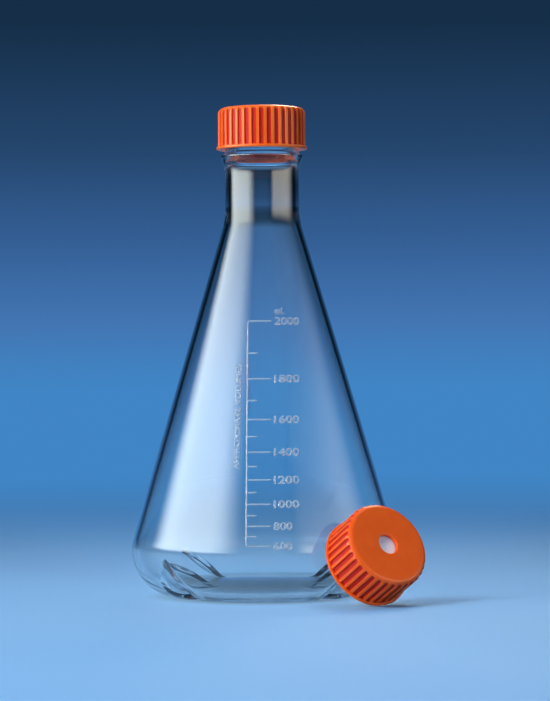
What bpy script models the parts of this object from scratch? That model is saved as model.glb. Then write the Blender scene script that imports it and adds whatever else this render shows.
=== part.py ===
"""Baffled two litre shake flask, GL45 screw neck, solid cap and a loose vented cap. Metres, +Z up."""
import math

import bmesh
import bpy
from mathutils import Matrix, Vector

# ---- flask, outside -------------------------------------------------------
BASE_R = 0.0540          # flat underside radius, where the heel arc starts
HEEL_R = 0.0290          # radius of the heel arc
CONE_TILT = 16.5         # cone half angle, degrees
NECK_R = 0.0232          # outside of the plain neck
NECK_BLEND_R = 0.0300    # concave blend between cone and neck
BEAD_R = 0.0257          # transfer bead
BEAD_Z = 0.2737           # widest height, with a long hollow taper below it
FINISH_ROOT_R = 0.0210   # root of the screw finish
FINISH_Z0 = 0.2782
LIP_Z = 0.2994           # sealing face of the mouth

# ---- flask, inside --------------------------------------------------------
WALL_T = 0.0030          # cone wall
FLOOR_T = 0.0045         # floor thickness
INNER_HEEL_R = 0.0250
NECK_BORE_R = 0.0192
MOUTH_BORE_R = 0.0172

# ---- baffles: four V dents pressed across the heel -------------------------
BAFFLES = 4
BAFFLE_TURN = -48.5      # azimuth of the first dent from the front (-Y), towards +X, degrees
DENT_SLOPE = 29.5        # slope of the dent's valley line, degrees
DENT_FOOT_R = 0.0348     # where the valley line meets the underside
DENT_STEEP = 1.35        # flank rise over run
DENT_VALLEY = 0.0006     # rounding of the valley
DENT_BOW = 7.0           # bow of the valley line, per metre
DENT_MIDDLE = 0.0593     # deepest place along the valley line
RIDGE_OFFSET = 0.0055    # glass over the valley before rounding
RIDGE_ROUND = 0.0015     # rounding of the ridge inside
SHOULDER = 0.0030        # rounding of the dent's shoulders

# ---- screw thread ---------------------------------------------------------
PITCH = 0.0040
GLASS_RIDGE = 0.0013     # radius of the round glass ridge
CAP_RIDGE = 0.0010       # radius of the round cap ridge
GLASS_THREAD_Z = 0.2825
THREAD_TURNS = 2.25

# ---- relief scale, laid out flat and seen from the front (-Y) --------------
MARK_FIRST = 600
MARK_LAST = 2000
MARK_STEP = 100
MARK_FIRST_Z = 0.0359
MARK_LAST_Z = 0.1706
MARK_APEX_Z = 0.3039     # apex of the inner cone, the marks step by equal volume
LINE_TOP_X = -0.0094
LINE_FOOT_X = -0.0112
LONG_MARK = 0.0140
SHORT_MARK = 0.0056
MARK_W = 0.0007
MARK_PROUD = 0.00035

# ---- caps -----------------------------------------------------------------
CAP_Z = 0.2784           # underside of the seated cap
CAP_H = 0.0261
CAP_R = 0.0273           # over the ribs
CAP_FLANGE_R = 0.0283
CAP_FLANGE_H = 0.0018
CAP_BORE_R = 0.0227
CAP_ROOF_T = 0.0025
CAP_EDGE_R = 0.0040      # rounding of the top edge, the grooves run out into it
FLUTES = 36
FLUTE_DEPTH = 0.0012
VENT_R = 0.0062
SEAL_R = 0.0223
SEAL_T = 0.0020
GAP = 0.0003
MEMBRANE_R = 0.0170
MEMBRANE_T = 0.0005
SEAL_RING_BORE_R = 0.0130

# ---- where the loose vented cap leans -------------------------------------
VENTED_AXIS = (0.4748, -0.7300, 0.4916)
VENTED_RIM = (0.06079, -0.07039, 0.02445)


def clear_scene():
    for ob in list(bpy.data.objects):
        bpy.data.objects.remove(ob, do_unlink=True)


def collection(name):
    coll = bpy.data.collections.new(name)
    bpy.context.scene.collection.children.link(coll)
    return coll


def material(name, colour, roughness, metallic=0.0):
    mat = bpy.data.materials.new(name)
    mat.use_nodes = True
    shader = mat.node_tree.nodes["Principled BSDF"]
    shader.inputs["Base Color"].default_value = (colour[0], colour[1], colour[2], 1.0)
    shader.inputs["Roughness"].default_value = roughness
    shader.inputs["Metallic"].default_value = metallic
    return mat


def add_object(name, mesh, coll, mat=None):
    ob = bpy.data.objects.new(name, mesh)
    coll.objects.link(ob)
    if mat is not None:
        mesh.materials.append(mat)
    return ob


def smooth(ob, angle=32.0):
    for poly in ob.data.polygons:
        poly.use_smooth = True
    ob.data.set_sharp_from_angle(angle=math.radians(angle))


def arc(cx, cz, radius, start, end, count):
    """Points on an arc in the profile plane, angles in degrees from +r."""
    points = []
    for i in range(count + 1):
        a = math.radians(start + (end - start) * i / count)
        points.append((cx + radius * math.cos(a), cz + radius * math.sin(a)))
    return points


def even_angles(count):
    return [2.0 * math.pi * i / count for i in range(count)]


def lathe(name, rows, angles, place):
    """Solid of revolution. place(r, z, angle, row) gives each point."""
    bm = bmesh.new()
    rings = []
    for i, (r, z) in enumerate(rows):
        if r < 1e-7:
            rings.append([bm.verts.new(place(0.0, z, 0.0, i))])
        else:
            rings.append([bm.verts.new(place(r, z, a, i)) for a in angles])
    pairs = list(zip(rings, rings[1:]))
    if len(rings[0]) > 1 and len(rings[-1]) > 1:
        pairs.append((rings[-1], rings[0]))
    n = len(angles)
    for low, high in pairs:
        for j in range(n):
            k = (j + 1) % n
            if len(low) == 1:
                bm.faces.new((low[0], high[k], high[j]))
            elif len(high) == 1:
                bm.faces.new((low[j], low[k], high[0]))
            else:
                bm.faces.new((low[j], low[k], high[k], high[j]))
    bmesh.ops.recalc_face_normals(bm, faces=bm.faces)
    mesh = bpy.data.meshes.new(name)
    bm.to_mesh(mesh)
    bm.free()
    return mesh


def turned(r, z, angle, row):
    return Vector((r * math.cos(angle), r * math.sin(angle), z))


def boolean(target, cutter, operation, coll):
    mod = target.modifiers.new(operation.title(), "BOOLEAN")
    mod.operation = operation
    mod.solver = "EXACT"
    mod.object = cutter
    bpy.context.view_layer.update()
    graph = bpy.context.evaluated_depsgraph_get()
    result = bpy.data.meshes.new_from_object(target.evaluated_get(graph))
    target.modifiers.clear()
    old = target.data
    target.data = result
    bpy.data.meshes.remove(old)
    if cutter.name not in coll.objects:
        coll.objects.link(cutter)
    return target


def tidy(ob, distance=0.000004):
    bm = bmesh.new()
    bm.from_mesh(ob.data)
    bmesh.ops.remove_doubles(bm, verts=bm.verts, dist=distance)
    bmesh.ops.dissolve_degenerate(bm, edges=bm.edges, dist=distance)
    bm.to_mesh(ob.data)
    bm.free()


def helix(name, radius, z_start, turns, ridge, steps, coll):
    """Round thread ridge, fading at both ends, as a closed mesh."""
    curve = bpy.data.curves.new(name + "_path", "CURVE")
    curve.dimensions = "3D"
    curve.bevel_depth = ridge
    curve.bevel_resolution = 1
    curve.use_fill_caps = True
    spline = curve.splines.new("POLY")
    count = int(turns * steps)
    spline.points.add(count)
    for i in range(count + 1):
        a = 2.0 * math.pi * i / steps
        z = z_start + PITCH * i / steps
        spline.points[i].co = (radius * math.cos(a), radius * math.sin(a), z, 1.0)
        fade = min(i, count - i) / 3.0
        spline.points[i].radius = min(1.0, 0.45 + 0.55 * fade)
    path = bpy.data.objects.new(name + "_path", curve)
    coll.objects.link(path)
    bpy.context.view_layer.update()
    graph = bpy.context.evaluated_depsgraph_get()
    mesh = bpy.data.meshes.new_from_object(path.evaluated_get(graph))
    bpy.data.objects.remove(path, do_unlink=True)
    ob = bpy.data.objects.new(name, mesh)
    coll.objects.link(ob)
    tidy(ob, 0.00001)
    return ob


# ---- flask body -----------------------------------------------------------
TILT = math.radians(CONE_TILT)
HEEL_TOP_R = BASE_R + HEEL_R * math.cos(TILT)
HEEL_TOP_Z = HEEL_R + HEEL_R * math.sin(TILT)


def outside_radius(z):
    """Outer radius of the heel and cone at a height."""
    if z < HEEL_TOP_Z:
        return BASE_R + math.sqrt(HEEL_R ** 2 - (z - HEEL_R) ** 2)
    return HEEL_TOP_R - (z - HEEL_TOP_Z) * math.tan(TILT)


def neck_blend(neck_r, cone_r0, cone_z0, blend):
    """Blend arc between the cone line through (cone_r0, cone_z0) and a vertical neck."""
    meet_z = cone_z0 + (cone_r0 - neck_r) / math.tan(TILT)
    reach = blend * math.tan(TILT / 2.0)
    centre_r = neck_r + blend
    centre_z = meet_z + reach
    return arc(centre_r, centre_z, blend, 180.0 + CONE_TILT, 180.0, 3)


def flask_rows():
    outer = [(0.0, 0.0), (0.020, 0.0), (0.033, 0.0), (0.039, 0.0), (0.0465, 0.0)]
    outer += arc(BASE_R, HEEL_R, HEEL_R, -90.0, 0.0, 8)
    outer += arc(BASE_R, HEEL_R, HEEL_R, 0.0, CONE_TILT, 2)[1:]
    outer += neck_blend(NECK_R, HEEL_TOP_R, HEEL_TOP_Z, NECK_BLEND_R)
    outer += [(NECK_R, BEAD_Z - 0.0127), (NECK_R + 0.0004, BEAD_Z - 0.0072)]
    outer += [(BEAD_R - 0.0013, BEAD_Z - 0.0037), (BEAD_R - 0.0003, BEAD_Z - 0.0011)]
    outer += [(BEAD_R, BEAD_Z), (BEAD_R - 0.0005, BEAD_Z + 0.0014)]
    outer += [(NECK_R, BEAD_Z + 0.0026), (NECK_R, FINISH_Z0 - 0.0012)]
    outer += [(FINISH_ROOT_R, FINISH_Z0)]
    outer += [(FINISH_ROOT_R, LIP_Z - 0.0018), (FINISH_ROOT_R - 0.0006, LIP_Z - 0.0005)]
    outer += [(FINISH_ROOT_R - 0.0014, LIP_Z)]
    split = len(outer)
    inner = [(MOUTH_BORE_R + 0.0010, LIP_Z), (MOUTH_BORE_R + 0.0002, LIP_Z - 0.0007)]
    inner += [(MOUTH_BORE_R, LIP_Z - 0.0022), (MOUTH_BORE_R, FINISH_Z0 - 0.0005)]
    inner += [(NECK_BORE_R, FINISH_Z0 - 0.0090)]
    cone_r = HEEL_TOP_R - WALL_T * math.cos(TILT)
    cone_z = HEEL_TOP_Z - WALL_T * math.sin(TILT)
    inner += reversed(neck_blend(NECK_BORE_R, cone_r, cone_z, NECK_BLEND_R + 0.0038))
    centre_z = FLOOR_T + INNER_HEEL_R
    centre_r = (HEEL_TOP_R * math.cos(TILT) + (HEEL_TOP_Z - centre_z) * math.sin(TILT)
                - WALL_T - INNER_HEEL_R) / math.cos(TILT)
    inner += reversed(arc(centre_r, centre_z, INNER_HEEL_R, -90.0, CONE_TILT, 10))
    inner += [(0.0470, FLOOR_T), (0.0400, FLOOR_T), (0.0340, FLOOR_T), (0.0220, FLOOR_T)]
    inner += [(0.0, FLOOR_T)]
    return outer + inner, split


def dent(r, z, side, foot, rounding):
    """How far a heel point is pressed in. side is the distance from the dent's middle plane."""
    slope = math.radians(DENT_SLOPE)
    beyond = (r - foot) * math.sin(slope) - z * math.cos(slope)
    along = r * math.cos(slope) + z * math.sin(slope) - DENT_MIDDLE
    beyond = beyond - DENT_BOW * along * along
    depth = beyond - DENT_STEEP * math.sqrt(side * side + rounding * rounding)
    if depth <= -SHOULDER:
        return 0.0
    if depth >= SHOULDER:
        return depth
    return (depth + SHOULDER) ** 2 / (4.0 * SHOULDER)


def dent_azimuths():
    """Dent directions as plain angles about +Z."""
    first = math.radians(-90.0 + BAFFLE_TURN)
    return [first + 2.0 * math.pi * i / BAFFLES for i in range(BAFFLES)]


def build_flask(parts, cutters, mat):
    rows, split = flask_rows()
    dents = dent_azimuths()
    steps = [0.0, 1.5, 3.1, 4.9, 7.0, 9.6, 13.5, 19.5, 27.0]
    plain = [34.5, 41.5, 48.5, 55.5]
    angles = []
    for a in dents:
        for s in reversed(steps[1:]):
            angles.append(a - math.radians(s))
        for s in steps + plain:
            angles.append(a + math.radians(s))
    slope = math.radians(DENT_SLOPE)
    inner_foot = DENT_FOOT_R - RIDGE_OFFSET / math.sin(slope)
    heel_limit = HEEL_TOP_Z + 0.001

    def place(r, z, a, row):
        if z > heel_limit or r < 0.012:
            return turned(r, z, a, row)
        outer = row < split
        foot = DENT_FOOT_R if outer else inner_foot
        rounding = DENT_VALLEY if outer else RIDGE_ROUND
        press = 0.0
        for d in dents:
            off = a - d
            if math.cos(off) > 0.0:
                press = max(press, dent(r, z, r * math.sin(off), foot, rounding))
        return turned(r - press * math.sin(slope), z + press * math.cos(slope), a, row)

    flask = add_object("flask_body", lathe("flask_body", rows, angles, place), parts, mat)
    ridge = helix("flask_thread_ridge", FINISH_ROOT_R, GLASS_THREAD_Z, THREAD_TURNS,
                  GLASS_RIDGE, 28, cutters)
    boolean(flask, ridge, "UNION", cutters)
    scale = relief_scale(cutters)
    boolean(flask, scale, "UNION", cutters)
    tidy(flask)
    smooth(flask)
    return flask


def mark_height(volume):
    share = (volume - MARK_FIRST) / (MARK_LAST - MARK_FIRST)
    low = (MARK_APEX_Z - MARK_FIRST_Z) ** 3
    high = (MARK_APEX_Z - MARK_LAST_Z) ** 3
    return MARK_APEX_Z - (low + (high - low) * share) ** (1.0 / 3.0)


def line_x(z):
    share = (z - MARK_FIRST_Z) / (MARK_LAST_Z - MARK_FIRST_Z)
    return LINE_FOOT_X + (LINE_TOP_X - LINE_FOOT_X) * share


def on_glass(x, z, off):
    r = outside_radius(z) + off
    return Vector((x, -math.sqrt(r * r - x * x), z))


def strip(name, sections, coll):
    """Closed strip through four-cornered sections."""
    bm = bmesh.new()
    loops = [[bm.verts.new(p) for p in section] for section in sections]
    for a, b in zip(loops, loops[1:]):
        for j in range(4):
            k = (j + 1) % 4
            bm.faces.new((a[j], a[k], b[k], b[j]))
    bm.faces.new(loops[0])
    bm.faces.new(list(reversed(loops[-1])))
    bmesh.ops.recalc_face_normals(bm, faces=bm.faces)
    mesh = bpy.data.meshes.new(name)
    bm.to_mesh(mesh)
    bm.free()
    ob = bpy.data.objects.new(name, mesh)
    coll.objects.link(ob)
    return ob


def relief_scale(coll):
    half = MARK_W / 2.0
    low = MARK_FIRST_Z - half * 1.3
    high = MARK_LAST_Z + half * 1.3
    sections = []
    for i in range(7):
        z = low + (high - low) * i / 6.0
        x = line_x(z)
        proud = MARK_PROUD + 0.0001
        sections.append((on_glass(x - half, z, proud), on_glass(x + half, z, proud),
                         on_glass(x + half, z, -0.0008), on_glass(x - half, z, -0.0008)))
    scale = strip("scale_line", sections, coll)
    count = (MARK_LAST - MARK_FIRST) // MARK_STEP
    for i in range(count + 1):
        volume = MARK_FIRST + MARK_STEP * i
        z = mark_height(volume)
        start = line_x(z) - half * 0.2
        long_mark = (volume // MARK_STEP) % 2 == 0
        end = line_x(z) + (LONG_MARK if long_mark else SHORT_MARK)
        sections = []
        for j in range(4):
            x = start + (end - start) * j / 3.0
            sections.append((on_glass(x, z - half, MARK_PROUD), on_glass(x, z + half, MARK_PROUD),
                             on_glass(x, z + half, -0.0007), on_glass(x, z - half, -0.0007)))
        mark = strip("scale_mark_" + str(volume), sections, coll)
        boolean(scale, mark, "UNION", coll)
    scale.name = "relief_scale"
    return scale


# ---- caps -----------------------------------------------------------------
def cap_rows():
    """Outside of a cap from the middle of its open end up to the middle of the top."""
    top = CAP_H
    edge = CAP_EDGE_R
    outline = [
        (CAP_BORE_R - 0.0040, 0.0, 0.0),
        (CAP_FLANGE_R - 0.0003, 0.0, 0.0),
        (CAP_FLANGE_R, 0.0004, 0.0),
        (CAP_FLANGE_R, CAP_FLANGE_H - 0.0004, 0.0),
        (CAP_FLANGE_R - 0.0003, CAP_FLANGE_H, 0.0),
        (CAP_R, CAP_FLANGE_H, 1.0),
    ]
    outline += [(r, z, 1.0) for r, z in arc(CAP_R - edge, top - edge, edge, 0.0, 90.0, 5)]
    return outline + [(0.0, top, 0.0)]


def flute_angles():
    """Columns of one flute are two rib edges and two groove columns."""
    angles = []
    depth = []
    period = 360.0 / FLUTES
    for i in range(FLUTES):
        for share, press in ((-0.17, 0.0), (0.17, 0.0), (0.385, 0.92), (0.615, 0.92)):
            angles.append(math.radians(period * (i + share)))
            depth.append(press)
    return angles, depth


def build_cap(name, parts, cutters, mat, vent):
    rows = cap_rows()
    angles, depth = flute_angles()
    press = {round(a, 6): d for a, d in zip(angles, depth)}

    def place(r, z, a, row):
        if rows[row][2] > 0.0:
            r = min(r, CAP_R - FLUTE_DEPTH * press[round(a, 6)])
        return turned(r, z, a, row)

    profile = [(0.0, 0.0)] + [(r, z) for r, z, share in rows]
    rows = [(0.0, 0.0, 0.0)] + rows
    cap = add_object(name, lathe(name, profile, angles, place), parts, mat)
    roof = CAP_H - CAP_ROOF_T
    bore = [(0.0, -0.003), (CAP_BORE_R + 0.0007, -0.003), (CAP_BORE_R + 0.0007, 0.0004),
            (CAP_BORE_R, 0.0012), (CAP_BORE_R, roof - 0.0006), (CAP_BORE_R - 0.0006, roof),
            (0.0, roof)]
    cutter = add_object(name + "_bore", lathe(name + "_bore", bore, even_angles(64), turned),
                        cutters)
    boolean(cap, cutter, "DIFFERENCE", cutters)
    start = GLASS_THREAD_Z + PITCH / 2.0 - CAP_Z
    ridge = helix(name + "_thread_ridge", CAP_BORE_R, start, THREAD_TURNS, CAP_RIDGE, 28, cutters)
    boolean(cap, ridge, "UNION", cutters)
    if vent:
        hole = [(0.0, roof - 0.004), (VENT_R, roof - 0.004), (VENT_R, CAP_H - 0.0006),
                (VENT_R + 0.0010, CAP_H + 0.0004), (0.0, CAP_H + 0.0004)]
        drill = add_object(name + "_vent", lathe(name + "_vent", hole, even_angles(48), turned),
                           cutters)
        boolean(cap, drill, "DIFFERENCE", cutters)
    tidy(cap)
    smooth(cap, 28.0)
    return cap


def build_disc(name, parts, mat, radius, bore, z0, z1, count, ease):
    if bore > 0.0:
        rows = [(bore, z0), (radius - ease, z0), (radius, z0 + ease), (radius, z1 - ease),
                (radius - ease, z1), (bore, z1)]
    else:
        rows = [(0.0, z0), (radius - ease, z0), (radius, z0 + ease), (radius, z1 - ease),
                (radius - ease, z1), (0.0, z1)]
    disc = add_object(name, lathe(name, rows, even_angles(count), turned), parts, mat)
    smooth(disc)
    return disc


def shift(ob, matrix):
    """Carve the pose into the mesh and keep the origin on the piece's own axis."""
    origin = matrix.to_translation()
    turn = matrix.to_3x3().to_4x4()
    ob.data.transform(turn)
    ob.location = origin


def main():
    clear_scene()
    parts = collection("baffled_shake_flask")
    cutters = collection("cutters")
    glass = material("borosilicate_glass", (0.86, 0.93, 0.94), 0.04)
    orange = material("orange_polypropylene", (0.83, 0.10, 0.012), 0.38)
    vented_orange = material("orange_polypropylene_vented", (0.83, 0.10, 0.012), 0.38)
    silicone = material("red_silicone", (0.70, 0.07, 0.03), 0.55)
    vented_silicone = material("red_silicone_vented", (0.70, 0.07, 0.03), 0.55)
    white = material("white_membrane", (0.82, 0.82, 0.86), 0.75)

    build_flask(parts, cutters, glass)

    roof = CAP_H - CAP_ROOF_T
    seated = Matrix.Translation((0.0, 0.0, CAP_Z))
    cap = build_cap("solid_cap", parts, cutters, orange, False)
    shift(cap, seated)
    seal = build_disc("solid_cap_seal", parts, silicone, SEAL_R, 0.0,
                      roof - GAP - SEAL_T, roof - GAP, 64, 0.0003)
    shift(seal, seated)

    axis = Vector(VENTED_AXIS).normalized()
    turn = axis.to_track_quat("Z", "Y").to_matrix().to_4x4()
    leaning = Matrix.Translation(VENTED_RIM) @ turn
    vented = build_cap("vented_cap", parts, cutters, vented_orange, True)
    shift(vented, leaning)
    top = roof - GAP
    membrane = build_disc("vent_membrane", parts, white, MEMBRANE_R, 0.0,
                          top - MEMBRANE_T, top, 64, 0.0001)
    shift(membrane, leaning)
    top = top - MEMBRANE_T - GAP
    ring = build_disc("vented_cap_seal", parts, vented_silicone, SEAL_R, SEAL_RING_BORE_R,
                      top - SEAL_T, top, 64, 0.0003)
    shift(ring, leaning)

    for ob in cutters.objects:
        ob.hide_render = True
        ob.display_type = "WIRE"
        ob.hide_viewport = True


main()
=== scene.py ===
"""Looks of the baffled shake flask: clear moulded glass, satin orange caps, white vent membrane."""
import math

import bmesh
import bpy
import numpy as np
from mathutils import Matrix, Vector


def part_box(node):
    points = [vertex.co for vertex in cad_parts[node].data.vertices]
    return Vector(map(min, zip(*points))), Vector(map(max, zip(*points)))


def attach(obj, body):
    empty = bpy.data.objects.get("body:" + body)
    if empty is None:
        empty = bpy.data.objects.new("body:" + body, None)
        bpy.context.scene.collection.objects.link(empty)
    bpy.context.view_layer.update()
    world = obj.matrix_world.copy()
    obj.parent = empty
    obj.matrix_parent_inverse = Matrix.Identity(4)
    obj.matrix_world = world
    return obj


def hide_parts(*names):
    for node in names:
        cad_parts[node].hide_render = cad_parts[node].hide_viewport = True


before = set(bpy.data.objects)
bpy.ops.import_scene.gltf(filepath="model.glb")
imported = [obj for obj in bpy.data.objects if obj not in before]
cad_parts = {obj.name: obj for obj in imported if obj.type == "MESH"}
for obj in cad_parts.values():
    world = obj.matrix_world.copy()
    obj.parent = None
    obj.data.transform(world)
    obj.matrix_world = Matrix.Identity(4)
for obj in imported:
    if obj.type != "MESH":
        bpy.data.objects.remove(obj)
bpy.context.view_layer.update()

# ---- places read from the frame ---------------------------------------------
flask_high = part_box("flask_body")[1]
cap_low, cap_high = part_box("solid_cap")
seal_low, seal_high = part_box("solid_cap_seal")
vented_low, vented_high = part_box("vented_cap")
LIP_Z = flask_high.z
CAP_Z = cap_low.z
CAP_H = cap_high.z - cap_low.z
SEAL_LOW = seal_low.z - CAP_Z
SEAL_HIGH = seal_high.z - CAP_Z

# ---- flask, the same driving sizes as the CAD --------------------------------
BASE_R = 0.0540
HEEL_R = 0.0290
TILT = math.radians(16.5)
NECK_R = 0.0232
NECK_BLEND_R = 0.0300
BEAD_R = 0.0257
BEAD_Z = 0.2737
FINISH_ROOT_R = 0.0210
FINISH_Z0 = 0.2782
WALL_T = 0.0030
FLOOR_T = 0.0045
INNER_HEEL_R = 0.0250
NECK_BORE_R = 0.0192
MOUTH_BORE_R = 0.0172

BAFFLES = 4
BAFFLE_TURN = -48.5
DENT_SLOPE = math.radians(29.5)
DENT_FOOT_R = 0.0348
DENT_STEEP = 1.35
DENT_VALLEY = 0.0006
DENT_BOW = 7.0
DENT_MIDDLE = 0.0593
RIDGE_OFFSET = 0.0055
RIDGE_ROUND = 0.0015
SHOULDER = 0.0030

PITCH = 0.0040
GLASS_RIDGE = 0.0013
CAP_RIDGE = 0.0010
RIDGE_HALF = 0.0016
GLASS_THREAD_Z = 0.2825
THREAD_TURNS = 2.25
THREAD_FADE = 0.12

# ---- relief scale ------------------------------------------------------------
MARK_FIRST = 600
MARK_LAST = 2000
MARK_STEP = 100
MARK_FIRST_Z = 0.0359
MARK_LAST_Z = 0.1706
MARK_APEX_Z = 0.3039
LINE_TOP_X = -0.0094
LINE_FOOT_X = -0.0112
LONG_MARK = 0.0140
SHORT_MARK = 0.0056
MARK_HALF = 0.00046
MARK_PROUD = 0.00065
NUMBER_GAP = 0.0163
NUMBER_H = 0.0048
NUMBER_ADVANCE = 0.0040
TITLE_X = -0.0168
TITLE_Z = (0.0810, 0.1440)
TITLE_LEAN = 0.03
TITLE_H = 0.0036
RELIEF_CLEAR = 0.00003
LETTER_THIN = 0.018
LETTER_ROUND = 0.045

# ---- caps --------------------------------------------------------------------
CAP_R = 0.0273
CAP_FLANGE_R = 0.0283
CAP_FLANGE_H = 0.0018
CAP_BORE_R = 0.0227
CAP_ROOF = CAP_H - 0.0025
CAP_EDGE_R = 0.0040
FLUTES = 36
FLUTE_DEPTH = 0.0012
FLUTE_HALF = 0.36
FLUTE_WALL = 0.13
FLUTE_CROWN = 0.0003
FLUTE_SOFT = 0.00022
VENT_R = 0.0062
VENT_EASE = 0.0007
SEAL_R = 0.0223
MEMBRANE_R = 0.0170
MEMBRANE_T = 0.0005
SEAL_RING_BORE_R = 0.0130
SEAL_T = 0.0020
GAP = 0.0003
VENTED_AXIS = Vector((0.4748, -0.7300, 0.4916)).normalized()

# ---- finishes ----------------------------------------------------------------
GLASS_IOR = 1.473
RELIEF_CLARITY = 0.86
RELIEF_ROUGH = (0.05, 0.14)
RIB_ROUGH = (0.25, 0.35)
GROOVE_DULL = 0.30
# painted shade: the darker red mixed into the flute grooves by their depth
GROOVE_SHADE_RED = (0.55, 0.010, 0.001, 1.0)
ORANGE = ((0.89, 0.130, 0.007, 1.0), (0.95, 0.156, 0.010, 1.0))
ORANGE_VENTED = ((0.88, 0.104, 0.008, 1.0), (0.93, 0.124, 0.011, 1.0))


# ---- mesh helpers ------------------------------------------------------------
def arc(cx, cz, radius, start, end, count):
    """Points on an arc in the profile plane, angles in radians from +r."""
    turns = np.linspace(start, end, count + 1)
    return [(cx + radius * math.cos(a), cz + radius * math.sin(a)) for a in turns]


def dense(points, step):
    """The same outline with no side longer than step."""
    out = [points[0]]
    for (r0, z0), (r1, z1) in zip(points, points[1:]):
        count = max(1, int(math.ceil(math.hypot(r1 - r0, z1 - z0) / step)))
        for i in range(1, count + 1):
            t = i / count
            out.append((r0 + (r1 - r0) * t, z0 + (z1 - z0) * t))
    return out


def lathe(name, profile, angles, shape=None):
    """Closed solid of revolution. shape(r, z, angle) may move the points of the whole grid."""
    profile = np.array(profile)
    n = len(angles)
    r = np.repeat(profile[:, :1], n, axis=1)
    z = np.repeat(profile[:, 1:], n, axis=1)
    a = np.repeat(np.array(angles)[None, :], len(profile), axis=0)
    if shape is not None:
        r, z = shape(r, z, a)
    grid = np.stack((r * np.cos(a), r * np.sin(a), z), axis=2)
    verts = []
    rings = []
    for i in range(len(profile)):
        start = len(verts)
        if profile[i, 0] < 1e-7:
            verts.append((0.0, 0.0, float(z[i, 0])))
            rings.append([start] * n)
        else:
            verts.extend(map(tuple, grid[i].tolist()))
            rings.append(list(range(start, start + n)))
    pairs = list(zip(rings, rings[1:]))
    if rings[0][0] != rings[0][-1] and rings[-1][0] != rings[-1][-1]:
        pairs.append((rings[-1], rings[0]))
    faces = []
    for low, high in pairs:
        for j in range(n):
            k = (j + 1) % n
            if low[j] == low[k]:
                faces.append((low[j], high[k], high[j]))
            elif high[j] == high[k]:
                faces.append((low[j], low[k], high[j]))
            else:
                faces.append((low[j], low[k], high[k], high[j]))
    mesh = bpy.data.meshes.new(name)
    mesh.from_pydata(verts, [], faces)
    bm = bmesh.new()
    bm.from_mesh(mesh)
    bmesh.ops.recalc_face_normals(bm, faces=bm.faces)
    bm.to_mesh(mesh)
    bm.free()
    return mesh


def add_piece(name, mesh, body, node, mat, sharp=40.0):
    ob = bpy.data.objects.new(name, mesh)
    bpy.context.scene.collection.objects.link(ob)
    mesh.materials.clear()
    mesh.materials.append(mat)
    for poly in mesh.polygons:
        poly.use_smooth = True
    mesh.set_sharp_from_angle(angle=math.radians(sharp))
    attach(ob, body)
    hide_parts(node)
    return ob


def full_circle(count):
    return np.arange(count) * (2.0 * math.pi / count)


# ---- materials ---------------------------------------------------------------
def new_material(name):
    mat = bpy.data.materials.new(name)
    mat.use_nodes = True
    nodes = mat.node_tree.nodes
    return mat, nodes, mat.node_tree.links, nodes["Principled BSDF"]


def noise(nodes, links, vector, scale, detail, roughness=0.5):
    node = nodes.new("ShaderNodeTexNoise")
    node.inputs["Scale"].default_value = scale
    node.inputs["Detail"].default_value = detail
    node.inputs["Roughness"].default_value = roughness
    links.new(vector, node.inputs["Vector"])
    return node


def bump(nodes, links, height, strength, distance):
    node = nodes.new("ShaderNodeBump")
    node.inputs["Strength"].default_value = strength
    node.inputs["Distance"].default_value = distance
    links.new(height, node.inputs["Height"])
    return node


def spread(nodes, links, value, low, high):
    """The value's 0..1 spread over low..high."""
    node = nodes.new("ShaderNodeMapRange")
    node.inputs["To Min"].default_value = low
    node.inputs["To Max"].default_value = high
    links.new(value, node.inputs["Value"])
    return node


def glass_material(name, wave):
    """Clear borosilicate with the long faint waves of moulded glass."""
    mat, nodes, links, shader = new_material(name)
    shader.inputs["Base Color"].default_value = (0.965, 0.985, 0.985, 1.0)
    shader.inputs["Roughness"].default_value = 0.0
    shader.inputs["IOR"].default_value = GLASS_IOR
    shader.inputs["Transmission Weight"].default_value = 1.0
    coords = nodes.new("ShaderNodeTexCoord")
    stretch = nodes.new("ShaderNodeMapping")
    stretch.inputs["Scale"].default_value = (1.0, 1.0, 0.35)
    links.new(coords.outputs["Object"], stretch.inputs["Vector"])
    waves = noise(nodes, links, stretch.outputs["Vector"], 28.0, 1.5, 0.45)
    ripple = bump(nodes, links, waves.outputs["Fac"], wave, 0.0010)
    links.new(ripple.outputs["Normal"], shader.inputs["Normal"])
    return mat


def relief_material(name):
    """The same glass, fire-polished less smoothly, so that it reads pale against the body."""
    mat, nodes, links, shader = new_material(name)
    shader.inputs["Base Color"].default_value = (0.88, 0.94, 0.99, 1.0)
    shader.inputs["IOR"].default_value = GLASS_IOR
    shader.inputs["Transmission Weight"].default_value = RELIEF_CLARITY
    coords = nodes.new("ShaderNodeTexCoord")
    frost = noise(nodes, links, coords.outputs["Object"], 900.0, 2.0)
    rough = spread(nodes, links, frost.outputs["Fac"], *RELIEF_ROUGH)
    links.new(rough.outputs["Result"], shader.inputs["Roughness"])
    return mat


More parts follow.
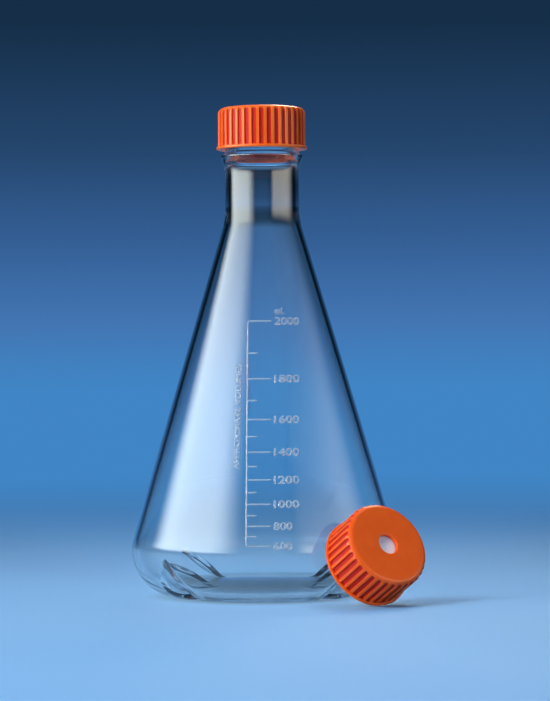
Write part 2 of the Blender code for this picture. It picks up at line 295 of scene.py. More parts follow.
def plastic_material(name, seed, dark, pale):
    """Satin polypropylene: fine moulded grain, faint flow marks, duller grooves, and painted shade
    that turns the grooves darker red.
    """
    mat, nodes, links, shader = new_material(name)
    coords = nodes.new("ShaderNodeTexCoord")
    flow = noise(nodes, links, coords.outputs["Object"], 95.0 + seed, 3.0)
    ramp = nodes.new("ShaderNodeValToRGB")
    ramp.color_ramp.elements[0].position = 0.30
    ramp.color_ramp.elements[0].color = dark
    ramp.color_ramp.elements[1].position = 0.70
    ramp.color_ramp.elements[1].color = pale
    links.new(flow.outputs["Fac"], ramp.inputs["Fac"])
    groove = nodes.new("ShaderNodeAttribute")
    groove.attribute_name = "groove"
    # painted shade: the grooves turn darker red with their depth under the ribs
    groove_shade = nodes.new("ShaderNodeMix")
    groove_shade.data_type = "RGBA"
    links.new(groove.outputs["Fac"], groove_shade.inputs["Factor"])
    links.new(ramp.outputs["Color"], groove_shade.inputs["A"])
    groove_shade.inputs["B"].default_value = GROOVE_SHADE_RED
    links.new(groove_shade.outputs["Result"], shader.inputs["Base Color"])
    gloss = noise(nodes, links, coords.outputs["Object"], 420.0, 4.0)
    satin = spread(nodes, links, gloss.outputs["Fac"], *RIB_ROUGH)
    dull = nodes.new("ShaderNodeMath")
    dull.operation = "MULTIPLY_ADD"
    dull.inputs[1].default_value = GROOVE_DULL
    links.new(groove.outputs["Fac"], dull.inputs[0])
    links.new(satin.outputs["Result"], dull.inputs[2])
    links.new(dull.outputs[0], shader.inputs["Roughness"])
    grain = noise(nodes, links, coords.outputs["Object"], 2600.0, 2.0)
    skin = bump(nodes, links, grain.outputs["Fac"], 0.10, 0.00006)
    links.new(skin.outputs["Normal"], shader.inputs["Normal"])
    shader.inputs["IOR"].default_value = 1.49
    shader.inputs["Specular IOR Level"].default_value = 0.25
    shader.inputs["Subsurface Weight"].default_value = 0.12
    shader.inputs["Subsurface Radius"].default_value = (1.0, 0.22, 0.05)
    shader.inputs["Subsurface Scale"].default_value = 0.0016
    return mat


def silicone_material(name):
    mat, nodes, links, shader = new_material(name)
    coords = nodes.new("ShaderNodeTexCoord")
    cloud = noise(nodes, links, coords.outputs["Object"], 160.0, 3.0)
    ramp = nodes.new("ShaderNodeValToRGB")
    ramp.color_ramp.elements[0].color = (0.90, 0.085, 0.018, 1.0)
    ramp.color_ramp.elements[1].color = (0.96, 0.110, 0.026, 1.0)
    links.new(cloud.outputs["Fac"], ramp.inputs["Fac"])
    links.new(ramp.outputs["Color"], shader.inputs["Base Color"])
    shader.inputs["Roughness"].default_value = 0.55
    powder = noise(nodes, links, coords.outputs["Object"], 3200.0, 2.0)
    skin = bump(nodes, links, powder.outputs["Fac"], 0.2, 0.00005)
    links.new(skin.outputs["Normal"], shader.inputs["Normal"])
    return mat


def membrane_material(name):
    """White expanded film: fibrous, matt, a little lilac in its shade."""
    mat, nodes, links, shader = new_material(name)
    coords = nodes.new("ShaderNodeTexCoord")
    fibre = noise(nodes, links, coords.outputs["Object"], 900.0, 6.0, 0.7)
    ramp = nodes.new("ShaderNodeValToRGB")
    ramp.color_ramp.elements[0].position = 0.25
    ramp.color_ramp.elements[0].color = (0.80, 0.79, 0.86, 1.0)
    ramp.color_ramp.elements[1].position = 0.75
    ramp.color_ramp.elements[1].color = (0.90, 0.89, 0.93, 1.0)
    links.new(fibre.outputs["Fac"], ramp.inputs["Fac"])
    links.new(ramp.outputs["Color"], shader.inputs["Base Color"])
    shader.inputs["Roughness"].default_value = 0.72
    weave = bump(nodes, links, fibre.outputs["Fac"], 0.25, 0.00008)
    links.new(weave.outputs["Normal"], shader.inputs["Normal"])
    return mat


# ---- flask body --------------------------------------------------------------
HEEL_TOP_R = BASE_R + HEEL_R * math.cos(TILT)
HEEL_TOP_Z = HEEL_R + HEEL_R * math.sin(TILT)


def outside_radius(z):
    """Outer radius of the heel and cone at a height."""
    if z < HEEL_TOP_Z:
        return BASE_R + math.sqrt(max(0.0, HEEL_R ** 2 - (z - HEEL_R) ** 2))
    return HEEL_TOP_R - (z - HEEL_TOP_Z) * math.tan(TILT)


def neck_blend(neck_r, cone_r0, cone_z0, blend):
    meet_z = cone_z0 + (cone_r0 - neck_r) / math.tan(TILT)
    centre_z = meet_z + blend * math.tan(TILT / 2.0)
    return arc(neck_r + blend, centre_z, blend, math.pi + TILT, math.pi, 24)


def outer_profile():
    line = [(0.0, 0.0), (0.010, 0.0), (0.030, 0.0)]
    line += dense([(0.032, 0.0), (BASE_R - 0.0004, 0.0)], 0.0007)
    line += arc(BASE_R, HEEL_R, HEEL_R, -math.pi / 2.0, TILT, 84)
    cone_top = neck_blend(NECK_R, HEEL_TOP_R, HEEL_TOP_Z, NECK_BLEND_R)
    line += dense([line[-1], cone_top[0]], 0.012)[1:-1]
    line += cone_top
    line += [(NECK_R, BEAD_Z - 0.0130), (NECK_R + 0.0001, BEAD_Z - 0.0108)]
    line += [(NECK_R + 0.0003, BEAD_Z - 0.0083), (NECK_R + 0.0007, BEAD_Z - 0.0055)]
    line += [(NECK_R + 0.0013, BEAD_Z - 0.0032), (NECK_R + 0.0020, BEAD_Z - 0.0015)]
    line += arc(BEAD_R - 0.0013, BEAD_Z, 0.0013, -0.55, 1.30, 12)
    line += [(NECK_R + 0.0006, BEAD_Z + 0.0018), (NECK_R + 0.0001, BEAD_Z + 0.0025)]
    line += [(NECK_R - 0.0001, FINISH_Z0 - 0.0014), (FINISH_ROOT_R + 0.0010, FINISH_Z0 - 0.0005)]
    line += dense([(FINISH_ROOT_R, FINISH_Z0 + 0.0004), (FINISH_ROOT_R, LIP_Z - 0.0018)], 0.00025)
    line += arc(FINISH_ROOT_R - 0.0016, LIP_Z - 0.0016, 0.0016, 0.1, math.pi / 2.0, 8)
    return line


def inner_profile():
    line = arc(MOUTH_BORE_R + 0.0010, LIP_Z - 0.0010, 0.0010, math.pi / 2.0, math.pi, 8)
    line += [(MOUTH_BORE_R, LIP_Z - 0.0100), (MOUTH_BORE_R, FINISH_Z0 - 0.0005)]
    line += [(MOUTH_BORE_R + 0.0003, FINISH_Z0 - 0.0030)]
    line += [(MOUTH_BORE_R + 0.0010, FINISH_Z0 - 0.0055)]
    line += [(NECK_BORE_R - 0.0002, FINISH_Z0 - 0.0080), (NECK_BORE_R, FINISH_Z0 - 0.0105)]
    cone_r = HEEL_TOP_R - WALL_T * math.cos(TILT)
    cone_z = HEEL_TOP_Z - WALL_T * math.sin(TILT)
    line += reversed(neck_blend(NECK_BORE_R, cone_r, cone_z, NECK_BLEND_R + 0.0038))
    centre_z = FLOOR_T + INNER_HEEL_R
    centre_r = (HEEL_TOP_R * math.cos(TILT) + (HEEL_TOP_Z - centre_z) * math.sin(TILT)
                - WALL_T - INNER_HEEL_R) / math.cos(TILT)
    heel = list(reversed(arc(centre_r, centre_z, INNER_HEEL_R, -math.pi / 2.0, TILT, 76)))
    line += dense([line[-1], heel[0]], 0.012)[1:-1]
    line += heel
    line += dense([(centre_r - 0.0006, FLOOR_T), (0.030, FLOOR_T)], 0.0007)
    line += [(0.024, FLOOR_T), (0.010, FLOOR_T), (0.0, FLOOR_T)]
    return line


def dent_depth(r, z, side, foot, rounding):
    beyond = (r - foot) * math.sin(DENT_SLOPE) - z * math.cos(DENT_SLOPE)
    along = r * math.cos(DENT_SLOPE) + z * math.sin(DENT_SLOPE) - DENT_MIDDLE
    beyond = beyond - DENT_BOW * along * along
    depth = beyond - DENT_STEEP * np.sqrt(side * side + rounding * rounding)
    soft = (depth + SHOULDER) ** 2 / (4.0 * SHOULDER)
    return np.where(depth <= -SHOULDER, 0.0, np.where(depth >= SHOULDER, depth, soft))


def thread_fade(turns):
    """0 outside the ridge's length, 1 along it, with a soft lead in and out."""
    lead = np.clip(turns / THREAD_FADE, 0.0, 1.0)
    tail = np.clip((THREAD_TURNS - turns) / THREAD_FADE, 0.0, 1.0)
    return lead * lead * (3 - 2 * lead) * tail * tail * (3 - 2 * tail)


def ridge_height(z, angle, start_z, half):
    """Share of the ridge's height at a point of a helical ridge that starts at start_z."""
    share = np.zeros_like(z)
    lap = np.mod(angle, 2.0 * math.pi) / (2.0 * math.pi)
    for k in range(int(math.ceil(THREAD_TURNS)) + 1):
        turns = lap + k
        off = np.abs(z - (start_z + PITCH * turns))
        wave = 0.5 * (1.0 + np.cos(math.pi * np.clip(off / half, 0.0, 1.0)))
        share = np.maximum(share, wave * thread_fade(turns))
    return share


def flask_angles():
    """Columns close together at the dents and wider between them."""
    first = math.radians(-90.0 + BAFFLE_TURN)
    dents = [first + 2.0 * math.pi * i / BAFFLES for i in range(BAFFLES)]
    near = list(np.arange(0.0, 9.0, 0.28))
    far = list(np.linspace(9.0, 45.0, 34))[:-1]
    plus = near + far
    offsets = sorted(set([-x for x in plus[1:]] + plus + [45.0]))
    angles = []
    for d in dents:
        angles += [d + math.radians(o) for o in offsets]
    return np.array(angles), dents


def build_flask(mat):
    outer = outer_profile()
    inner = inner_profile()
    split = len(outer)
    angles, dents = flask_angles()
    inner_foot = DENT_FOOT_R - RIDGE_OFFSET / math.sin(DENT_SLOPE)

    def shape(r, z, a):
        rows = np.arange(r.shape[0])[:, None]
        is_outer = np.broadcast_to(rows < split, r.shape)
        foot = np.where(is_outer, DENT_FOOT_R, inner_foot)
        rounding = np.where(is_outer, DENT_VALLEY, RIDGE_ROUND)
        press = np.zeros_like(r)
        for d in dents:
            off = a - d
            here = dent_depth(r, z, r * np.sin(off), foot, rounding)
            press = np.maximum(press, np.where(np.cos(off) > 0.0, here, 0.0))
        press = np.where((z < HEEL_TOP_Z + 0.001) & (r > 0.012), press, 0.0)
        finish = is_outer & (z > FINISH_Z0 + 0.0003) & (z < LIP_Z - 0.0017)
        ridge = GLASS_RIDGE * ridge_height(z, a, GLASS_THREAD_Z, RIDGE_HALF)
        moved_r = r - press * math.sin(DENT_SLOPE) + np.where(finish, ridge, 0.0)
        moved_z = z + press * math.cos(DENT_SLOPE)
        return moved_r, moved_z

    mesh = lathe("flask_glass", outer + inner, angles, shape)
    return add_piece("flask_glass", mesh, "flask", "flask_body", mat, 60.0)


# ---- relief scale, laid out flat and seen from the front ----------------------
def mark_height(volume):
    share = (volume - MARK_FIRST) / (MARK_LAST - MARK_FIRST)
    low = (MARK_APEX_Z - MARK_FIRST_Z) ** 3
    high = (MARK_APEX_Z - MARK_LAST_Z) ** 3
    return MARK_APEX_Z - (low + (high - low) * share) ** (1.0 / 3.0)


def line_x(z):
    share = (z - MARK_FIRST_Z) / (MARK_LAST_Z - MARK_FIRST_Z)
    return LINE_FOOT_X + (LINE_TOP_X - LINE_FOOT_X) * share


def on_glass(x, z, off):
    r = outside_radius(z) + RELIEF_CLEAR + off
    return (x, -math.sqrt(r * r - x * x), z)


def ribbon(bm, path, across, half, proud):
    """Half-round bar on the glass along path, a list of (x, z); across is its width direction."""
    sides = 8
    loops = []
    for i, (x, z) in enumerate(path):
        end = i in (0, len(path) - 1)
        width = half * (0.55 if end else 1.0)
        height = proud * (0.45 if end else 1.0)
        loop = []
        for j in range(sides + 1):
            t = math.pi * j / sides
            w = width * math.cos(t)
            loop.append(bm.verts.new(on_glass(x + across[0] * w, z + across[1] * w,
                                              height * math.sin(t))))
        loops.append(loop)
    for a, b in zip(loops, loops[1:]):
        for j in range(len(a)):
            k = (j + 1) % len(a)
            bm.faces.new((a[j], a[k], b[k], b[j]))
    bm.faces.new(loops[0])
    bm.faces.new(list(reversed(loops[-1])))


def lettering(bm, words, height, width, place):
    """Raised letters. place(u, v, w) puts a point of the flat lettering on the glass."""
    curve = bpy.data.curves.new("letters", "FONT")
    curve.body = words
    curve.size = 1.0
    curve.offset = -LETTER_THIN
    curve.bevel_depth = LETTER_ROUND
    curve.bevel_resolution = 1
    curve.resolution_u = 3
    ob = bpy.data.objects.new("letters", curve)
    bpy.context.scene.collection.objects.link(ob)
    bpy.context.view_layer.update()
    graph = bpy.context.evaluated_depsgraph_get()
    mesh = bpy.data.meshes.new_from_object(ob.evaluated_get(graph))
    bpy.data.objects.remove(ob, do_unlink=True)
    bpy.data.curves.remove(curve)
    co = np.array([v.co for v in mesh.vertices])
    low, high = co.min(axis=0), co.max(axis=0)
    size = high - low
    part = bmesh.new()
    part.from_mesh(mesh)
    bmesh.ops.remove_doubles(part, verts=part.verts, dist=0.0005)
    for v in part.verts:
        u = (v.co.x - low[0]) / size[0] * width
        w = (v.co.y - low[1]) / size[1] * height
        rise = (v.co.z - low[2]) / size[2]
        v.co = place(u, w, rise)
    part.to_mesh(mesh)
    part.free()
    bm.from_mesh(mesh)
    bpy.data.meshes.remove(mesh)


def build_relief(mat):
    bm = bmesh.new()
    rise = 0.006
    count = int((MARK_LAST_Z - MARK_FIRST_Z) / rise)
    path = []
    for i in range(count + 1):
        z = MARK_FIRST_Z + (MARK_LAST_Z - MARK_FIRST_Z) * i / count
        path.append((line_x(z), z))
    ribbon(bm, path, (1.0, 0.0), MARK_HALF, MARK_PROUD)
    for volume in range(MARK_FIRST, MARK_LAST + 1, MARK_STEP):
        z = mark_height(volume)
        long_mark = (volume // MARK_STEP) % 2 == 0
        reach = LONG_MARK if long_mark else SHORT_MARK
        start = line_x(z) + MARK_HALF * 1.1
        pieces = 10 if long_mark else 5
        path = [(start + reach * i / pieces, z) for i in range(pieces + 1)]
        ribbon(bm, path, (0.0, 1.0), MARK_HALF, MARK_PROUD)
        if long_mark:
            words = str(volume)
            left = line_x(z) + NUMBER_GAP

            def place(u, w, h, left=left, z=z):
                return on_glass(left + u, z - NUMBER_H / 2.0 + w, h * MARK_PROUD)

            lettering(bm, words, NUMBER_H, NUMBER_ADVANCE * len(words) - 0.0006, place)
    top = mark_height(MARK_LAST) + NUMBER_H / 2.0 + 0.0018
    left = line_x(top) + NUMBER_GAP

    def place_unit(u, w, h):
        return on_glass(left + u, top + w, h * MARK_PROUD)

    lettering(bm, "mL", NUMBER_H * 0.85, 0.0062, place_unit)
    length = TITLE_Z[1] - TITLE_Z[0]

    def place_title(u, w, h):
        return on_glass(TITLE_X + TITLE_H / 2.0 - w + u * TITLE_LEAN, TITLE_Z[0] + u,
                        h * MARK_PROUD)

    lettering(bm, "APPROXIMATE VOLUMES", TITLE_H, length, place_title)
    bmesh.ops.recalc_face_normals(bm, faces=bm.faces)
    mesh = bpy.data.meshes.new("scale_relief")
    bm.to_mesh(mesh)
    bm.free()
    return add_piece("scale_relief", mesh, "flask", "flask_body", mat, 50.0)


# ---- caps --------------------------------------------------------------------
def cap_profile(vented):
    """From the roof's underside, down the bore, over the rim, up the flutes to the top."""
    roof, bore = CAP_ROOF, CAP_BORE_R
    if vented:
        line = [(VENT_R, roof), (VENT_R + 0.004, roof)]
    else:
        line = [(0.0, roof), (0.006, roof)]
    line += [(bore - 0.0100, roof)]
    line += arc(bore - 0.0006, roof - 0.0006, 0.0006, math.pi / 2.0, 0.0, 4)
    line += dense([(bore, roof - 0.0008), (bore, 0.0014)], 0.00030)
    line += [(bore + 0.0004, 0.0006), (bore + 0.0012, 0.00012), (bore + 0.0016, 0.0)]
    flange, tall = CAP_FLANGE_R, CAP_FLANGE_H
    line += arc(flange - 0.0005, 0.0005, 0.0005, -math.pi / 2.0, 0.0, 4)
    line += arc(flange - 0.0005, tall - 0.0005, 0.0005, 0.0, math.pi / 2.0, 4)
    line += [(CAP_R + 0.0002, tall), (CAP_R, tall + 0.0001), (CAP_R, tall + 0.0005)]
    line += dense([(CAP_R, tall + 0.0010), (CAP_R, CAP_H - CAP_EDGE_R)], 0.0025)
    line += arc(CAP_R - CAP_EDGE_R, CAP_H - CAP_EDGE_R, CAP_EDGE_R, 0.0, math.pi / 2.0, 19)[1:]
    line += [(CAP_R - CAP_EDGE_R - 0.0008, CAP_H), (0.0160, CAP_H)]
    if vented:
        line += [(0.0100, CAP_H)]
        line += arc(VENT_R + VENT_EASE, CAP_H - VENT_EASE, VENT_EASE, math.pi / 2.0, math.pi, 6)
    else:
        line += [(0.0080, CAP_H), (0.0, CAP_H)]
    return line


def flute_angles():
    """Columns of each flute, closest on the two slanted walls of the groove."""
    wall = [FLUTE_HALF - FLUTE_WALL * (1.0 - t) for t in (0.0, 0.2, 0.4, 0.6, 0.8, 1.0)]
    half = [0.08, 0.16] + wall + [0.43]
    shares = sorted([-x for x in half] + [0.0] + half + [0.5])
    return np.array([(i + s) * 2.0 * math.pi / FLUTES for i in range(FLUTES) for s in shares])


def mark_grooves(mesh):
    """How deep each point lies under the ribs, 0 to 1, for the thicker grooves and the painted
    shade that makes them darker red.
    """
    co = np.array([v.co for v in mesh.vertices])
    r, z = np.hypot(co[:, 0], co[:, 1]), co[:, 2]
    rise = np.clip(z - (CAP_H - CAP_EDGE_R), 0.0, CAP_EDGE_R)
    over = CAP_R - CAP_EDGE_R + np.sqrt(CAP_EDGE_R ** 2 - rise ** 2)
    depth = np.clip((over - r) / (0.75 * FLUTE_DEPTH), 0.0, 1.0)
    outside = (z > CAP_FLANGE_H + 0.00005) & (r > CAP_R - 1.3 * FLUTE_DEPTH) & (z < CAP_H - 0.0004)
    layer = mesh.attributes.new("groove", "FLOAT", "POINT")
    layer.data.foreach_set("value", np.where(outside, depth, 0.0).astype(np.float32))


def build_cap(name, vented):
    thread_z = GLASS_THREAD_Z + PITCH / 2.0 - CAP_Z

    def shape(r, z, a):
        place = a * FLUTES / (2.0 * math.pi)
        off = np.abs(place - np.round(place))
        wall = np.clip((FLUTE_HALF - off) / FLUTE_WALL, 0.0, 1.0)
        groove = CAP_R - FLUTE_DEPTH * wall * wall * (3.0 - 2.0 * wall)
        groove = groove + FLUTE_CROWN * np.clip(off / FLUTE_HALF, 0.0, 1.0) ** 2 * (wall > 0.0)
        lap = np.clip(0.5 + 0.5 * (r - groove) / FLUTE_SOFT, 0.0, 1.0)
        cut = r + (groove - r) * lap - FLUTE_SOFT * lap * (1.0 - lap) * 0.5
        outside = (r > CAP_BORE_R + 0.002) | (z > CAP_ROOF + 0.0005)
        fluted = outside & (z > CAP_FLANGE_H + 0.00005) & (r > 0.021)
        moved = np.where(fluted, np.minimum(r, cut), r)
        bored = (np.abs(r - CAP_BORE_R) < 1e-5) & (z < CAP_ROOF)
        ridge = CAP_RIDGE * ridge_height(z, a, thread_z, RIDGE_HALF)
        return moved - np.where(bored, ridge, 0.0), z

    mesh = lathe(name, cap_profile(vented), flute_angles(), shape)
    mark_grooves(mesh)
    return mesh


def disc_profile(radius, bore, low, high, ease):
    rim = arc(radius - ease, low + ease, ease, -math.pi / 2.0, 0.0, 3)
    rim += arc(radius - ease, high - ease, ease, 0.0, math.pi / 2.0, 3)
    if bore > 0.0:
        return [(bore + ease, low)] + rim + [(bore + ease, high), (bore, high - ease),
                                             (bore, low + ease)]
    return [(0.0, low), (radius * 0.5, low)] + rim + [(radius * 0.5, high), (0.0, high)]


def placed(mesh, matrix):
    mesh.transform(matrix)
    return mesh


def leaning_matrix(mesh):
    """Turn onto the leaning cap's axis and centre on the CAD cap's box."""
    turn = VENTED_AXIS.to_track_quat("Z", "Y").to_matrix().to_4x4()
    co = np.array([turn @ v.co for v in mesh.vertices])
    middle = Vector((co.min(axis=0) + co.max(axis=0)) / 2.0)
    return Matrix.Translation((vented_low + vented_high) / 2.0 - middle) @ turn


def build_closures():
    orange = plastic_material("orange_satin", 0.0, *ORANGE)
    orange_vented = plastic_material("orange_satin_vented", 11.0, *ORANGE_VENTED)
    silicone = silicone_material("red_silicone_matt")
    silicone_vented = silicone_material("red_silicone_ring_matt")
    white = membrane_material("membrane_white")
    seated = Matrix.Translation((0.0, 0.0, CAP_Z))

    cap = placed(build_cap("solid_cap_shell", False), seated)
    add_piece("solid_cap_shell", cap, "cap", "solid_cap", orange)
    disc = lathe("cap_seal_disc", disc_profile(SEAL_R, 0.0, SEAL_LOW, SEAL_HIGH, 0.0003),
                 full_circle(192))
    add_piece("cap_seal_disc", placed(disc, seated), "cap_seal", "solid_cap_seal",
              silicone)

    vented = build_cap("vented_cap_shell", True)
    leaning = leaning_matrix(vented)
    add_piece("vented_cap_shell", placed(vented, leaning), "vented_closure", "vented_cap",
              orange_vented)
    top = CAP_ROOF - GAP
    film = lathe("membrane_film", disc_profile(MEMBRANE_R, 0.0, top - MEMBRANE_T, top, 0.0001),
                 full_circle(160))
    add_piece("membrane_film", placed(film, leaning), "vented_closure", "vent_membrane",
              white)
    top = top - MEMBRANE_T - GAP
    ring = lathe("vented_seal_ring",
                 disc_profile(SEAL_R, SEAL_RING_BORE_R, top - SEAL_T, top, 0.0003),
                 full_circle(192))
    add_piece("vented_seal_ring", placed(ring, leaning), "vented_closure",
              "vented_cap_seal", silicone_vented)


# ---- stage -------------------------------------------------------------------
# colours of the surroundings by height of the direction, 0 straight down to 1 straight up
HORIZON = (0.052, 0.235, 0.560)
WORLD_STOPS = (
    (0.000, HORIZON),
    (0.497, HORIZON),
    (0.508, (0.056, 0.180, 0.450)),
    (0.522, (0.036, 0.118, 0.310)),
    (0.540, (0.018, 0.060, 0.150)),
    (0.562, (0.008, 0.028, 0.066)),
    (0.660, (0.004, 0.012, 0.028)),
    (1.000, (0.035, 0.050, 0.090)),
)
# |X| of the direction where the sides start and end to darken, and what is left there
SIDE_DARK = (0.22, 0.62, 0.14)
# the room's light: colour, then start, end and share along Y (in front) and Z (above)
ROOM = (0.130, 0.260, 0.430)
ROOM_FRONT = (-0.15, -0.60, 0.35)
ROOM_ABOVE = (0.28, 0.68, 1.0)
WORLD_STRENGTH = 1.0
FLOOR_Z = -0.0002
FLOOR_NEAR = 0.0
FLOOR_FAR = 1.90
# radius where the shade under the glass starts to fade and ends, and its depth
UNDER_GLASS = (0.050, 0.078, 0.40)


def side_dim(nodes, links, x):
    """Strength of the surroundings, which darken towards both sides; x is the direction's X."""
    side = nodes.new("ShaderNodeMath")
    side.operation = "ABSOLUTE"
    links.new(x, side.inputs[0])
    dim = nodes.new("ShaderNodeMapRange")
    dim.interpolation_type = "SMOOTHSTEP"
    dim.inputs["From Min"].default_value = SIDE_DARK[0]
    dim.inputs["From Max"].default_value = SIDE_DARK[1]
    dim.inputs["To Min"].default_value = WORLD_STRENGTH
    dim.inputs["To Max"].default_value = WORLD_STRENGTH * SIDE_DARK[2]
    links.new(side.outputs[0], dim.inputs["Value"])
    return dim


def build_floor():
    """Pale floor that runs into the colour of the horizon."""
    outline = [(0.0, FLOOR_Z), (0.6, FLOOR_Z), (1.8, FLOOR_Z), (6.0, FLOOR_Z),
               (6.0, FLOOR_Z - 0.01), (0.0, FLOOR_Z - 0.01)]
    mesh = lathe("floor", outline, full_circle(96))
    floor = bpy.data.objects.new("floor", mesh)
    bpy.context.scene.collection.objects.link(floor)
    mat, nodes, links, shader = new_material("floor_pale")
    coords = nodes.new("ShaderNodeTexCoord")
    cloud = noise(nodes, links, coords.outputs["Object"], 3.0, 2.0)
    ramp = nodes.new("ShaderNodeValToRGB")
    ramp.color_ramp.elements[0].color = (0.155, 0.390, 0.730, 1.0)
    ramp.color_ramp.elements[1].color = (0.190, 0.430, 0.770, 1.0)
    links.new(cloud.outputs["Fac"], ramp.inputs["Fac"])
    shader.inputs["Roughness"].default_value = 0.62
    away = nodes.new("ShaderNodeVectorMath")
    away.operation = "LENGTH"
    links.new(coords.outputs["Object"], away.inputs[0])
    under = nodes.new("ShaderNodeMapRange")
    under.interpolation_type = "SMOOTHSTEP"
    under.inputs["From Min"].default_value = UNDER_GLASS[0]
    under.inputs["From Max"].default_value = UNDER_GLASS[1]
    under.inputs["To Min"].default_value = UNDER_GLASS[2]
    links.new(away.outputs["Value"], under.inputs["Value"])
    shade = nodes.new("ShaderNodeVectorMath")
    shade.operation = "SCALE"
    links.new(ramp.outputs["Color"], shade.inputs[0])
    links.new(under.outputs["Result"], shade.inputs["Scale"])
    links.new(shade.outputs["Vector"], shader.inputs["Base Color"])
    share = nodes.new("ShaderNodeMapRange")
    share.interpolation_type = "SMOOTHSTEP"
    share.inputs["From Min"].default_value = FLOOR_NEAR
    share.inputs["From Max"].default_value = FLOOR_FAR
    links.new(away.outputs["Value"], share.inputs["Value"])
    glow = nodes.new("ShaderNodeEmission")
    glow.inputs["Color"].default_value = (HORIZON[0], HORIZON[1], HORIZON[2], 1.0)
    toward = nodes.new("ShaderNodeVectorMath")
    toward.operation = "NORMALIZE"
    links.new(coords.outputs["Object"], toward.inputs[0])
    split = nodes.new("ShaderNodeSeparateXYZ")
    links.new(toward.outputs["Vector"], split.inputs["Vector"])
    dim = side_dim(nodes, links, split.outputs["X"])
    links.new(dim.outputs["Result"], glow.inputs["Strength"])
    blend = nodes.new("ShaderNodeMixShader")
    links.new(share.outputs["Result"], blend.inputs[0])
    links.new(shader.outputs["BSDF"], blend.inputs[1])
    links.new(glow.outputs["Emission"], blend.inputs[2])
    links.new(blend.outputs["Shader"], nodes["Material Output"].inputs["Surface"])
    mesh.materials.append(mat)


def build_world():
    """Blue, palest at the horizon, darker upwards and to both sides, lit in front and above."""
    world = bpy.data.worlds.new("studio")
    bpy.context.scene.world = world
    world.use_nodes = True
    nodes = world.node_tree.nodes
    links = world.node_tree.links
    back = nodes["Background"]
    coords = nodes.new("ShaderNodeTexCoord")
    split = nodes.new("ShaderNodeSeparateXYZ")
    links.new(coords.outputs["Generated"], split.inputs["Vector"])
    height = nodes.new("ShaderNodeMapRange")
    height.inputs["From Min"].default_value = -1.0
    height.inputs["From Max"].default_value = 1.0
    links.new(split.outputs["Z"], height.inputs["Value"])
    ramp = nodes.new("ShaderNodeValToRGB")
    ramp.color_ramp.interpolation = "LINEAR"
    stops = ramp.color_ramp.elements
    while len(stops) < len(WORLD_STOPS):
        stops.new(0.5)
    for stop, (place, colour) in zip(stops, WORLD_STOPS):
        stop.position = place
        stop.color = (colour[0], colour[1], colour[2], 1.0)
    links.new(height.outputs["Result"], ramp.inputs["Fac"])
    dim = side_dim(nodes, links, split.outputs["X"])
    shares = []
    for axis, (low, high, most) in (("Y", ROOM_FRONT), ("Z", ROOM_ABOVE)):
        share = nodes.new("ShaderNodeMapRange")
        share.interpolation_type = "SMOOTHSTEP"
        share.inputs["From Min"].default_value = low
        share.inputs["From Max"].default_value = high
        share.inputs["To Max"].default_value = most
        links.new(split.outputs[axis], share.inputs["Value"])
        shares.append(share)
    larger = nodes.new("ShaderNodeMath")
    larger.operation = "MAXIMUM"
    links.new(shares[0].outputs["Result"], larger.inputs[0])
    links.new(shares[1].outputs["Result"], larger.inputs[1])
    mix = nodes.new("ShaderNodeMix")
    mix.data_type = "RGBA"
    links.new(larger.outputs[0], mix.inputs["Factor"])
    links.new(ramp.outputs["Color"], mix.inputs["A"])
    mix.inputs["B"].default_value = (ROOM[0], ROOM[1], ROOM[2], 1.0)
    links.new(mix.outputs["Result"], back.inputs["Color"])
    links.new(dim.outputs["Result"], back.inputs["Strength"])


def soft_edge(nodes, links, source, fade):
    """1 in the middle of 0..1 and falling smoothly to 0 over fade at both ends."""
    sides = []
    for low, high in ((0.0, fade[0]), (1.0, 1.0 - fade[1])):
        node = nodes.new("ShaderNodeMapRange")
        node.interpolation_type = "SMOOTHSTEP"
        node.inputs["From Min"].default_value = low
        node.inputs["From Max"].default_value = high
        links.new(source, node.inputs["Value"])
        sides.append(node)
    both = nodes.new("ShaderNodeMath")
    both.operation = "MULTIPLY"
    links.new(sides[0].outputs["Result"], both.inputs[0])
    links.new(sides[1].outputs["Result"], both.inputs[1])
    return both


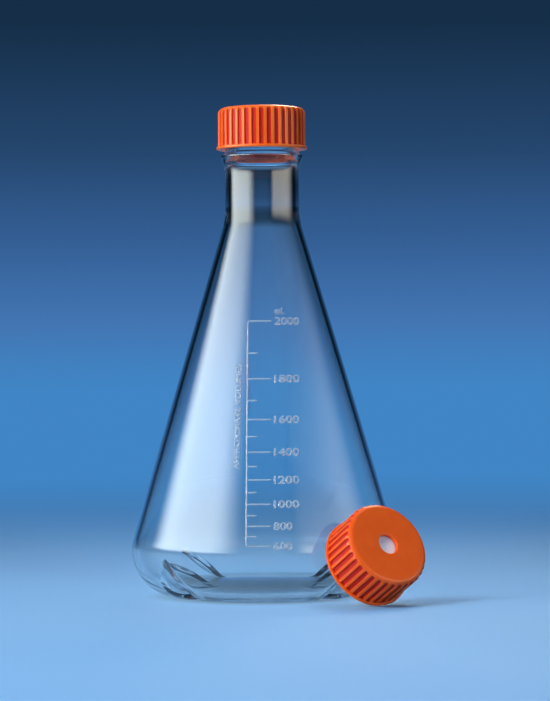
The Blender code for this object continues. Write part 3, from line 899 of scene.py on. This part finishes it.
def softbox(name, turns, away, heights, power, colour, fades):
    """Curved diffuser round the object, turns in degrees from the front towards +X."""
    across, up = 24, 8
    verts = []
    for j in range(up + 1):
        z = heights[0] + (heights[1] - heights[0]) * j / up
        for i in range(across + 1):
            a = math.radians(turns[0] + (turns[1] - turns[0]) * i / across)
            verts.append((away * math.sin(a), -away * math.cos(a), z))
    faces = []
    for j in range(up):
        for i in range(across):
            k = j * (across + 1) + i
            faces.append((k, k + across + 1, k + across + 2, k + 1))
    mesh = bpy.data.meshes.new(name)
    mesh.from_pydata(verts, [], faces)
    uv = mesh.uv_layers.new(name="spread")
    for loop in mesh.loops:
        row, col = divmod(loop.vertex_index, across + 1)
        uv.data[loop.index].uv = (col / across, row / up)
    mat = bpy.data.materials.new(name)
    mat.use_nodes = True
    nodes, links = mat.node_tree.nodes, mat.node_tree.links
    nodes.remove(nodes["Principled BSDF"])
    coords = nodes.new("ShaderNodeTexCoord")
    split = nodes.new("ShaderNodeSeparateXYZ")
    links.new(coords.outputs["UV"], split.inputs["Vector"])
    round_edge = soft_edge(nodes, links, split.outputs["X"], fades[0])
    high_edge = soft_edge(nodes, links, split.outputs["Y"], fades[1])
    share = nodes.new("ShaderNodeMath")
    share.operation = "MULTIPLY"
    links.new(round_edge.outputs[0], share.inputs[0])
    links.new(high_edge.outputs[0], share.inputs[1])
    strength = nodes.new("ShaderNodeMath")
    strength.operation = "MULTIPLY"
    strength.inputs[1].default_value = power
    links.new(share.outputs[0], strength.inputs[0])
    glow = nodes.new("ShaderNodeEmission")
    glow.inputs["Color"].default_value = (colour[0], colour[1], colour[2], 1.0)
    links.new(strength.outputs[0], glow.inputs["Strength"])
    links.new(glow.outputs["Emission"], nodes["Material Output"].inputs["Surface"])
    mesh.materials.append(mat)
    ob = bpy.data.objects.new(name, mesh)
    bpy.context.scene.collection.objects.link(ob)
    ob.visible_camera = False
    ob.visible_shadow = False
    ob.visible_diffuse = False
    ob.visible_transmission = False
    return ob


def area_light(name, place, aim, size, power, colour, seen):
    data = bpy.data.lights.new(name, "AREA")
    data.shape = "RECTANGLE"
    data.size, data.size_y = size
    data.energy = power
    data.color = colour
    ob = bpy.data.objects.new(name, data)
    bpy.context.scene.collection.objects.link(ob)
    ob.location = place
    direction = Vector(aim) - Vector(place)
    ob.rotation_euler = direction.to_track_quat("-Z", "Y").to_euler()
    ob.visible_camera = False
    ob.visible_transmission = False
    ob.visible_glossy = seen
    return ob


# turns, distance, heights, power, colour, soft edges across and upwards
CARDS = {
    "card_left": ((-116.0, -18.0), 1.35, (0.10, 1.45), 12.5, (0.90, 1.0, 0.98),
                  ((0.24, 0.34), (0.10, 0.55))),
    "card_right": ((24.0, 112.0), 1.35, (0.10, 0.95), 6.5, (1.0, 0.93, 0.76),
                   ((0.16, 0.40), (0.12, 0.86))),
    "card_back": ((140.0, 182.0), 0.95, (0.85, 1.45), 26.0, (1.0, 0.93, 0.76),
                  ((0.30, 0.30), (0.30, 0.30))),
}
# place, size, power, colour, seen in reflections
LAMPS = {
    "key": ((-1.00, -0.90, 1.15), (0.60, 0.80), 22.0, (1.0, 0.97, 0.93), False),
    "fill": ((1.20, -0.80, 0.60), (0.50, 0.80), 2.2, (1.0, 0.95, 0.88), False),
    "top": ((0.45, 0.20, 1.45), (0.60, 0.50), 5.0, (1.0, 0.99, 0.96), False),
    "low": ((-0.85, -0.95, 0.14), (0.50, 0.20), 5.0, (1.0, 0.95, 0.90), False),
}


def build_lights():
    for name, card in CARDS.items():
        softbox(name, *card)
    for name, (place, size, power, colour, seen) in LAMPS.items():
        area_light(name, place, (0.0, 0.0, 0.12), size, power, colour, seen)


# ---- camera ------------------------------------------------------------------
CAMERA_AWAY = 1.70
CAMERA_Z = 0.143
AIM = (0.0073, 0.0, 0.1528)
LENS = 139.6
ROLL = math.radians(0.45)
LIGHT_BOUNCES = 32


def build_camera():
    data = bpy.data.cameras.new("camera")
    data.lens = LENS
    data.sensor_width = 36.0
    data.sensor_fit = "AUTO"
    data.clip_start = 0.05
    data.clip_end = 50.0
    ob = bpy.data.objects.new("camera", data)
    bpy.context.scene.collection.objects.link(ob)
    place = Vector((0.0, -CAMERA_AWAY, CAMERA_Z))
    turn = (Vector(AIM) - place).to_track_quat("-Z", "Y").to_matrix().to_4x4()
    ob.matrix_world = Matrix.Translation(place) @ turn @ Matrix.Rotation(-ROLL, 4, "Z")
    bpy.context.scene.camera = ob


for glass in (build_flask(glass_material("clear_glass", 0.05)),
              build_relief(relief_material("relief_glass"))):
    glass.visible_shadow = False
build_closures()
build_floor()
build_world()
build_lights()
build_camera()
bpy.context.scene.view_settings.view_transform = "Standard"
bpy.context.scene.cycles.max_bounces = LIGHT_BOUNCES
bpy.context.scene.cycles.transmission_bounces = LIGHT_BOUNCES
bpy.context.scene.cycles.glossy_bounces = LIGHT_BOUNCES
